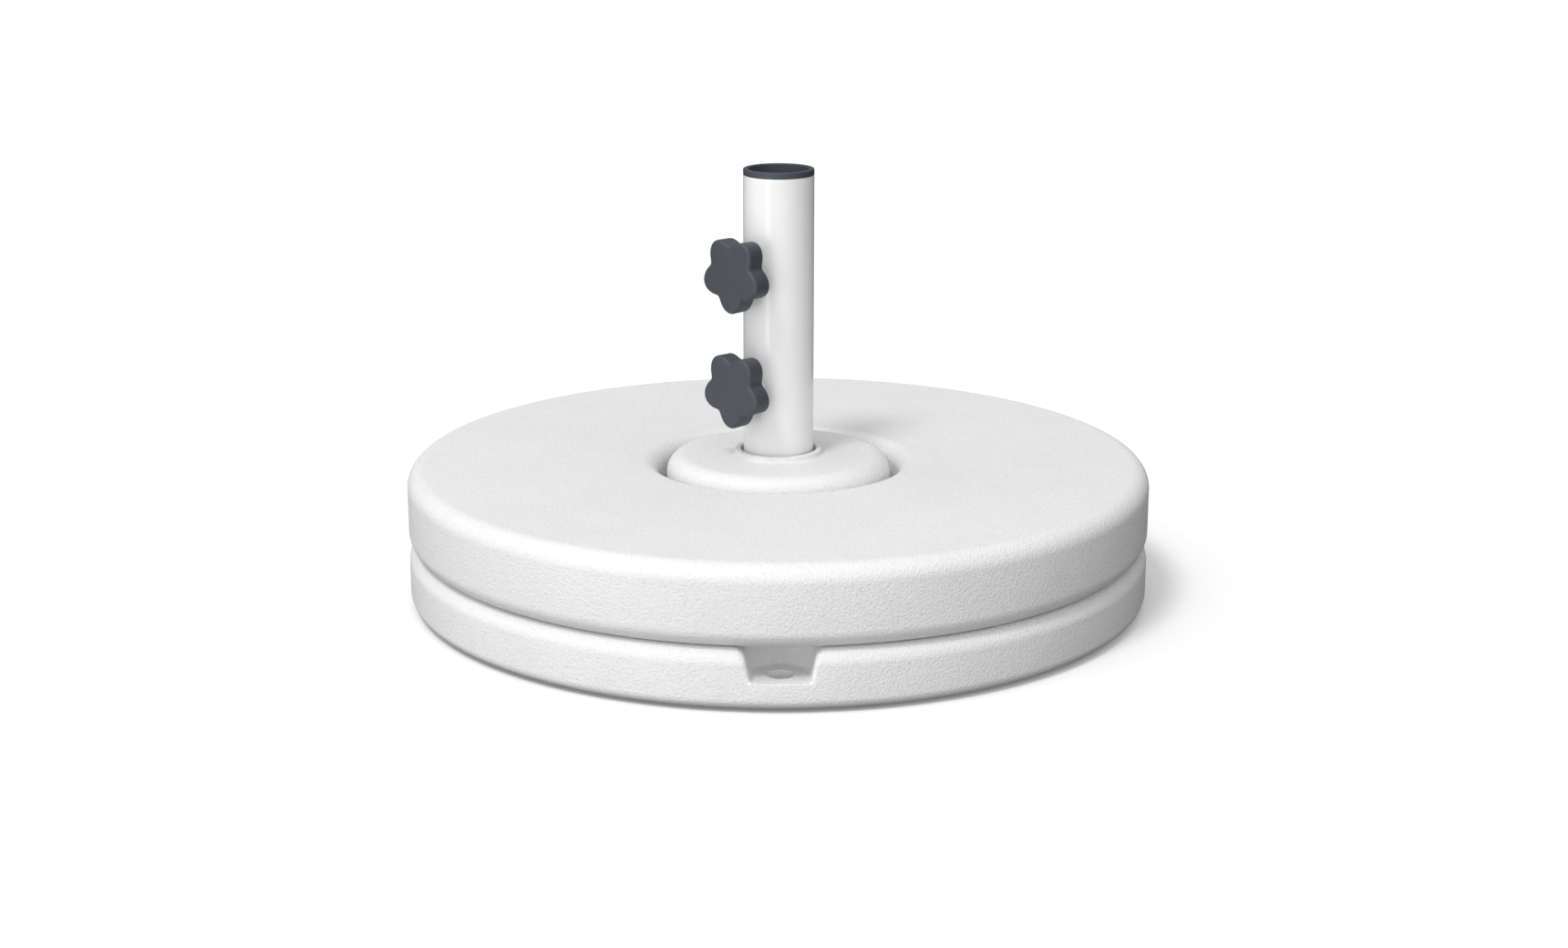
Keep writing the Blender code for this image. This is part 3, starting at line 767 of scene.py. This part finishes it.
def make_bolt(number, middle):
    """A hexagon bolt, head down, with chamfered corners and a plain shank."""
    node = f"flange_bolt_{number}"
    low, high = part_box(node)
    head_top = low.z + BOLT_HEAD_H
    corner = BOLT_CORNER_R
    chamfer = corner * 0.90
    columns = SMALL_COLUMNS
    rows = []
    for r, z in ((0.0, high.z), (0.0030, high.z), (BOLT_R, high.z - 0.0006), (BOLT_R, head_top)):
        rows.append(circle(r, z, columns))
    for depth, limit in ((0.0, chamfer), (0.0006, corner), (0.0044, corner),
                         (0.0047, chamfer * 1.03), (BOLT_HEAD_H, chamfer * 0.97)):
        rows.append(polygon_row(corner, 6, head_top - depth, columns, limit))
    dish = low.z + 0.0004
    for r, z in ((0.0048, low.z), (0.0044, dish), (0.0, dish)):
        rows.append(circle(r, z, columns))
    bolt = skin(node + "_skin", rows, place=Matrix.Translation((middle.x, middle.y, 0.0)))
    show(bolt, node, ZINC)


def make_collar():
    """The ring on the tube's mouth, with its skirt inside the tube."""
    low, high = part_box("top_collar")
    step = high.z - COLLAR_H
    edge = 0.0009
    foot_edge = 0.0004
    collar = spin("top_collar_skin",
                  rounded([(SOCKET_R, high.z, edge), (TUBE_R, high.z, edge), (TUBE_R, step, 0.0002),
                           (LINER_R, step, 0), (LINER_R, low.z, foot_edge),
                           (SOCKET_R, low.z, foot_edge)]), TUBE_COLUMNS)
    show(collar, "top_collar", PLASTIC)


def make_bush():
    """The seat in the tube's foot, with its drain hole."""
    low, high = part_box("pole_bush")
    floor = low.z + BUSH_FLOOR
    bush = spin("pole_bush_skin",
                rounded([(SOCKET_R, high.z, 0.0008), (LINER_R, high.z, 0.0003), (LINER_R, low.z, 0.0004),
                         (DRAIN_R, low.z, 0.0003), (DRAIN_R, floor, 0.0005), (SOCKET_R, floor, 0.0010)]),
                TUBE_COLUMNS)
    show(bush, "pole_bush", PLASTIC)


# Clamps ---------------------------------------------------------------------

KNOB_POINTS = 240
KNOB_FACE = 0.0594           # heights along the clamp's axis start at the tube's centre
KNOB_BACK = 0.0421
KNOB_TIP_R = 0.0327
KNOB_VALLEY_R = 0.0243
KNOB_LOBES = 5
KNOB_LOBE_POWER = 0.6        # below 1 makes the lobes fuller
KNOB_VALLEY_SOFT = 0.05      # above 0 keeps the valleys round where the power would crease them
KNOB_EDGE = 0.0026
KNOB_BACK_EDGE = 0.0012
KNOB_DOME = 0.0007
KNOB_RECESS = 0.0062         # depth of the hollow round the boss at the back
KNOB_BOSS_R = 0.0105
STUD_R = 0.0047
STUD_END = 0.0520
STUD_SHOULDER = 0.0278
STUD_TIP_R = 0.0028
STUD_TIP = 0.0259
STUD_PITCH = 0.0015
NUT_FACE = 0.0355
NUT_FOOT = 0.0284
NUT_CORNER_R = 0.0092
NUT_BORE_R = 0.0051
PAD_FACE = 0.0244
PAD_BACK = 0.0270
PAD_R = 0.006
PAD_SOCKET = 0.0255
PAD_SOCKET_R = 0.0031


def lobed_outline():
    """Points and outward normals of the knob's five-lobed outline, one lobe down."""
    points = []
    low = KNOB_VALLEY_SOFT ** KNOB_LOBE_POWER
    high = (1.0 + KNOB_VALLEY_SOFT) ** KNOB_LOBE_POWER
    for k in range(KNOB_POINTS):
        angle = math.tau * k / KNOB_POINTS
        lobe = 0.5 + 0.5 * math.cos(KNOB_LOBES * (angle + math.pi / 2))
        share = ((lobe + KNOB_VALLEY_SOFT) ** KNOB_LOBE_POWER - low) / (high - low)
        radius = KNOB_VALLEY_R + (KNOB_TIP_R - KNOB_VALLEY_R) * share
        points.append(Vector((radius * math.cos(angle), radius * math.sin(angle), 0.0)))
    normals = []
    for k in range(KNOB_POINTS):
        along = points[(k + 1) % KNOB_POINTS] - points[k - 1]
        normals.append(along.cross(UP).normalized())
    return points, normals


def lobed_row(points, normals, inset, height):
    """The lobed outline moved in by inset, at a height."""
    return [p - n * inset + UP * height for p, n in zip(points, normals)]


def shrunk_row(row, share, height):
    """A row scaled towards the axis, at a height."""
    return [Vector((p.x * share, p.y * share, height)) for p in row]


def make_knob(prefix):
    """A knob with a softly domed face, rounded edges and a hollow back round its boss."""
    points, normals = lobed_outline()
    rim = KNOB_FACE - KNOB_DOME
    rows = [[Vector((0.0, 0.0, KNOB_FACE))]]
    flat = lobed_row(points, normals, KNOB_EDGE, rim)
    for share in (0.15, 0.3, 0.45, 0.6, 0.75, 0.88, 0.96):
        rows.append(shrunk_row(flat, share, rim + KNOB_DOME * (1.0 - share ** 2.2)))
    for k in range(9):
        angle = math.pi / 2 * k / 8
        inset = KNOB_EDGE * (1 - math.sin(angle))
        rows.append(lobed_row(points, normals, inset, rim - KNOB_EDGE * (1 - math.cos(angle))))
    draft = 0.0002
    for k in range(5):
        angle = math.pi / 2 * k / 4
        inset = draft + KNOB_BACK_EDGE * (1 - math.cos(angle))
        height = KNOB_BACK + KNOB_BACK_EDGE * (1 - math.sin(angle))
        rows.append(lobed_row(points, normals, inset, height))
    ceiling = KNOB_BACK + KNOB_RECESS
    for inset, height in ((0.0030, KNOB_BACK), (0.0033, KNOB_BACK + 0.0003), (0.0036, ceiling)):
        rows.append(lobed_row(points, normals, inset, height))
    bore_r = STUD_R + GAP
    bore_end = STUD_END + GAP
    for r, z in ((KNOB_BOSS_R, ceiling), (KNOB_BOSS_R - 0.0005, KNOB_BACK + 0.0006),
                 (KNOB_BOSS_R - 0.0011, KNOB_BACK), (bore_r + 0.0006, KNOB_BACK),
                 (bore_r, KNOB_BACK + 0.0006), (bore_r, bore_end), (0.0, bore_end)):
        rows.append(circle(r, z, KNOB_POINTS))
    knob = skin(prefix + "_knob_skin", rows, place=CLAMPS[prefix])
    show(knob, prefix + "_knob", PLASTIC)


def make_stud(prefix):
    """M10 stud with its real thread, stepped down to the tip that carries the pad."""
    columns = 48
    end_r = STUD_R - 0.0009
    rows = [circle(0.0, STUD_END, columns), circle(end_r, STUD_END, columns)]
    rows += thread_rows(STUD_R, 0.0008, STUD_PITCH, STUD_END - 0.0003, STUD_SHOULDER + 0.0003, columns)
    for r, z in rounded([(end_r, STUD_SHOULDER, 0), (STUD_TIP_R, STUD_SHOULDER - 0.0003, 0),
                         (STUD_TIP_R, STUD_TIP, 0.0004), (0.0, STUD_TIP, 0)], closed=False):
        rows.append(circle(r, z, columns))
    stud = skin(prefix + "_stud_skin", rows, place=CLAMPS[prefix])
    show(stud, prefix + "_stud", ZINC, math.radians(60))


def make_nut(prefix):
    """Hexagon nut sunk into the tube's wall, with chamfered corners."""
    chamfer = NUT_CORNER_R * 0.93
    columns = SMALL_COLUMNS
    edge = 0.0006
    rows = [circle(NUT_BORE_R, NUT_FACE - edge, columns), circle(NUT_BORE_R + edge, NUT_FACE, columns)]
    for depth, limit in ((0.0, chamfer * 0.97), (0.0003, chamfer * 1.02), (0.0009, NUT_CORNER_R),
                         (NUT_FACE - NUT_FOOT, NUT_CORNER_R)):
        rows.append(polygon_row(NUT_CORNER_R, 6, NUT_FACE - depth, columns, limit))
    rows.append(circle(NUT_BORE_R, NUT_FOOT, columns))
    nut = skin(prefix + "_weld_nut_skin", rows, closed=True, place=CLAMPS[prefix])
    show(nut, prefix + "_weld_nut", COAT)


def make_weld(prefix):
    """The painted weld bead that runs round the nut, on the tube's curve."""
    around = 180
    across = 14
    sunk = 0.0003
    rows = []
    for k in range(around):
        angle = math.tau * k / around
        reach = polygon_radius(angle, NUT_CORNER_R + 0.0002, 6) + 0.0002
        swell = 0.0015 + 0.00012 * math.sin(26 * angle) + 0.00008 * math.sin(7 * angle + 1.0)
        side = Vector((math.cos(angle), math.sin(angle), 0.0))
        height = math.sqrt(TUBE_R ** 2 - (reach * side.x) ** 2) - sunk
        row = []
        for n in range(across):
            turn = -math.tau * n / across
            out = side * (reach + swell * math.cos(turn))
            row.append(out + UP * (height + swell * math.sin(turn)))
        rows.append(row)
    weld = skin(prefix + "_weld_bead", rows, closed=True, place=CLAMPS[prefix])
    smooth(weld, math.radians(80))
    weld.data.materials.append(COAT)
    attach(weld, BODY_OF[prefix + "_weld_nut"])


def make_pad(prefix):
    """The pad on the stud's tip, with the socket that the tip turns in."""
    pad = spin(prefix + "_pressure_pad_skin",
               rounded([(0.0, PAD_SOCKET, 0), (PAD_SOCKET_R, PAD_SOCKET, 0),
                        (PAD_SOCKET_R, PAD_BACK, 0.0003), (PAD_R, PAD_BACK, 0.0004),
                        (PAD_R, PAD_FACE, 0.0006), (0.0, PAD_FACE, 0)], closed=False),
               SMALL_COLUMNS, closed=False, place=CLAMPS[prefix])
    show(pad, prefix + "_pressure_pad", PLASTIC)


# Hidden CAD nodes that stay as they are -------------------------------------

def dress_node(node, material):
    """Give a CAD node that stays visible one of the materials."""
    slots = frame["nodes"][node].data.materials
    slots.clear()
    slots.append(material)


# Stage ----------------------------------------------------------------------

DOME_AZIMUTH = 25.0
DOME_ELEVATION = 40.0
DOME_START = -0.10           # cosine to the dome's middle where it starts to brighten
DOME_FULL = 0.51             # cosine from which it has its full brightness
DOME_DIM = 0.04
DOME_BRIGHT = 1.03
STRIP_AZIMUTH = 36.0         # a narrow upright light that draws the stripe on the tube
STRIP_HALF = 0.06            # half its width and its upper and lower ends, as sines
STRIP_TOP = 0.25
STRIP_FOOT = -0.60
STRIP_FADE = 0.15            # length over which its ends fade, as a sine
STRIP_BRIGHT = 5.0
FLOOR_HALF = 60.0
FLOOR_GLOW = 0.07            # keeps the floor from going dark where the object shades it
CAMERA_LENS = 58.04
CAMERA_Y = -2.112
CAMERA_Z = 0.6787
CAMERA_PITCH = math.radians(15.27)
CAMERA_YAW = math.radians(0.133)
CAMERA_ROLL = 0.002
CAMERA_ORBIT = math.radians(-0.33)


def make_floor():
    """A pale floor that throws no light back, so the dome alone shades the object's sides."""
    mesh = bpy.data.meshes.new("floor")
    half = FLOOR_HALF
    corners = [(-half, -half, 0.0), (half, -half, 0.0), (half, half, 0.0), (-half, half, 0.0)]
    mesh.from_pydata(corners, [], [(0, 1, 2, 3)])
    floor = bpy.data.objects.new("floor", mesh)
    bpy.context.scene.collection.objects.link(floor)
    look = Look("floor", (0.98, 0.98, 0.98), 0.9)
    look.shader.inputs["Specular IOR Level"].default_value = 0.0
    look.shader.inputs["Emission Color"].default_value = (1.0, 1.0, 1.0, 1.0)
    look.shader.inputs["Emission Strength"].default_value = FLOOR_GLOW
    mesh.materials.append(look.material)
    floor.visible_diffuse = False
    floor.visible_glossy = False


def direction(azimuth, elevation):
    """A unit vector towards a light. Azimuth 0 is in front and grows towards -X."""
    a = math.radians(azimuth)
    e = math.radians(elevation)
    return Vector((-math.sin(a) * math.cos(e), -math.cos(a) * math.cos(e), math.sin(e)))


def sun(name, azimuth, elevation, strength, spread):
    """A broad, far light. Strength is what a white surface facing it would show."""
    data = bpy.data.lights.new(name, "SUN")
    data.energy = strength * math.pi
    data.angle = math.radians(spread)
    light = bpy.data.objects.new(name, data)
    light.rotation_mode = "QUATERNION"
    light.rotation_quaternion = (-direction(azimuth, elevation)).to_track_quat("-Z", "Y")
    bpy.context.scene.collection.objects.link(light)


def strip_light(tree, towards):
    """An upright strip of light on the dome, soft at its edges."""
    outer = -STRIP_HALF * 1.4
    inner = -STRIP_HALF * 0.6
    limits = [(direction(STRIP_AZIMUTH + 90.0, 0.0), outer, inner),
              (direction(STRIP_AZIMUTH - 90.0, 0.0), outer, inner),
              (direction(STRIP_AZIMUTH, 0.0), 0.0, 0.1),
              (UP, STRIP_FOOT, STRIP_FOOT + STRIP_FADE),
              (-UP, -STRIP_TOP, -STRIP_TOP + STRIP_FADE)]
    parts = []
    for axis, start, end in limits:
        facing = tree.nodes.new("ShaderNodeVectorMath")
        facing.operation = "DOT_PRODUCT"
        facing.inputs[1].default_value = axis
        share = tree.nodes.new("ShaderNodeMapRange")
        share.inputs["From Min"].default_value = start
        share.inputs["From Max"].default_value = end
        tree.links.new(towards, facing.inputs[0])
        tree.links.new(facing.outputs["Value"], share.inputs["Value"])
        parts.append(share.outputs["Result"])
    strength = parts[0]
    for part in parts[1:]:
        product = tree.nodes.new("ShaderNodeMath")
        product.operation = "MULTIPLY"
        tree.links.new(strength, product.inputs[0])
        tree.links.new(part, product.inputs[1])
        strength = product.outputs["Value"]
    scaled = tree.nodes.new("ShaderNodeMath")
    scaled.operation = "MULTIPLY"
    scaled.inputs[1].default_value = STRIP_BRIGHT
    tree.links.new(strength, scaled.inputs[0])
    return scaled.outputs["Value"]


def make_lights():
    """A dome that is bright in front, to the left, and dim behind, with a key light and a weak fill."""
    world = bpy.data.worlds.new("studio")
    bpy.context.scene.world = world
    world.use_nodes = True
    tree = world.node_tree
    towards = tree.nodes.new("ShaderNodeTexCoord")
    facing = tree.nodes.new("ShaderNodeVectorMath")
    facing.operation = "DOT_PRODUCT"
    facing.inputs[1].default_value = direction(DOME_AZIMUTH, DOME_ELEVATION)
    spread = tree.nodes.new("ShaderNodeMapRange")
    spread.interpolation_type = "SMOOTHSTEP"
    spread.inputs["From Min"].default_value = DOME_START
    spread.inputs["From Max"].default_value = DOME_FULL
    spread.inputs["To Min"].default_value = DOME_DIM
    spread.inputs["To Max"].default_value = DOME_BRIGHT
    tree.links.new(towards.outputs["Generated"], facing.inputs[0])
    tree.links.new(facing.outputs["Value"], spread.inputs["Value"])
    total = tree.nodes.new("ShaderNodeMath")
    tree.links.new(spread.outputs["Result"], total.inputs[0])
    tree.links.new(strip_light(tree, towards.outputs["Generated"]), total.inputs[1])
    tree.links.new(total.outputs["Value"], tree.nodes["Background"].inputs["Strength"])
    tree.nodes["Background"].inputs["Color"].default_value = (1.0, 1.0, 1.0, 1.0)
    sun("key", 36.0, 59.0, 0.33, 14.0)
    sun("back_fill", 190.0, 25.0, 0.06, 60.0)


def make_camera():
    """The camera: a moderate lens, a little above the object and looking slightly down."""
    data = bpy.data.cameras.new("camera")
    data.lens = CAMERA_LENS
    data.sensor_width = 36.0
    camera = bpy.data.objects.new("camera", data)
    place = Matrix.Translation((0.0, CAMERA_Y, CAMERA_Z)) @ Matrix.Rotation(-CAMERA_YAW, 4, "Z")
    place = place @ Matrix.Rotation(math.pi / 2 - CAMERA_PITCH, 4, "X")
    place = place @ Matrix.Rotation(CAMERA_ROLL, 4, "Z")
    camera.matrix_world = Matrix.Rotation(CAMERA_ORBIT, 4, "Z") @ place
    bpy.context.scene.collection.objects.link(camera)
    bpy.context.scene.camera = camera


make_lower_shell()
make_upper_shell()
make_plug("lower", LOWER_PORT, 1, LOWER_PORT_SINK)
make_plug("upper", UPPER_PORT, -1, UPPER_PORT_SINK)
make_feet()
make_tube()
make_flange()
make_collar()
make_bush()
for prefix in CLAMPS:
    make_knob(prefix)
    make_stud(prefix)
    make_nut(prefix)
    make_weld(prefix)
    make_pad(prefix)
for node in ("lower_ballast", "upper_ballast"):
    dress_node(node, CONCRETE)
for i in range(BOLT_COUNT):
    dress_node(f"flange_insert_{i + 1}", BRASS)
make_floor()
make_lights()
make_camera()
bpy.context.scene.view_settings.view_transform = "Standard"
